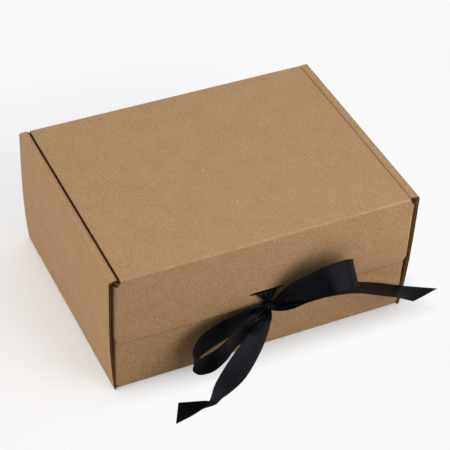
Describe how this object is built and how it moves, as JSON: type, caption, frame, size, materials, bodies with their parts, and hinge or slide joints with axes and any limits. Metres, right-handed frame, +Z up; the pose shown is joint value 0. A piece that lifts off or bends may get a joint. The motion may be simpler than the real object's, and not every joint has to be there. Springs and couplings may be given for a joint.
{
  "type": "gift box",
  "caption": "Kraft corrugated mailer-style gift box with rolled side walls, hinged lid with a front tuck flap, and a black satin ribbon bow.",
  "frame": {"origin": "centre of the box's underside, where it rests on the table", "axes": "+X along the front, +Y from the front to the hinge at the back, +Z up"},
  "size_m": [0.2936, 0.2509, 0.1183],
  "materials": {
    "kraft_board": "matte kraft liner, outer face",
    "kraft_inside": "matte kraft liner, inner face",
    "satin_ribbon": "satin weave, soft sheen"
  },
  "bodies": {
    "tray": {"base_panel": "kraft_inside", "front_wall": "kraft_board", "back_wall": "kraft_board", "left_outer_panel": "kraft_board", "right_outer_panel": "kraft_board", "left_top_roll": "kraft_board", "right_top_roll": "kraft_board", "left_inner_panel": "kraft_inside", "right_inner_panel": "kraft_inside", "front_left_corner_tab": "kraft_inside", "front_right_corner_tab": "kraft_inside", "back_left_corner_tab": "kraft_inside", "back_right_corner_tab": "kraft_inside"},
    "lid": {"lid_panel": "kraft_board", "lid_back_crease": "kraft_board", "lid_front_crease": "kraft_board"},
    "flap": {"front_flap": "kraft_board", "left_lock_ear": "kraft_inside", "right_lock_ear": "kraft_inside", "ribbon_throat": "satin_ribbon", "ribbon_back_run": "satin_ribbon", "ribbon_knot": "satin_ribbon", "ribbon_left_loop": "satin_ribbon", "ribbon_right_loop": "satin_ribbon", "ribbon_left_tail": "satin_ribbon", "ribbon_right_tail": "satin_ribbon"}
  },
  "joints": [
    {"name": "lid_hinge", "type": "hinge", "parent": "tray", "child": "lid", "pos_m": [0, 0.09807, 0.11787], "axis": [-1, 0, 0], "range_deg": [0, 180], "deforming": ["lid_back_crease", "left_lock_ear", "right_lock_ear"]},
    {"name": "flap_hinge", "type": "hinge", "parent": "lid", "child": "flap", "pos_m": [0, -0.10047, 0.11787], "axis": [-1, 0, 0], "range_deg": [0, 120], "deforming": ["lid_front_crease"]}
  ]
}
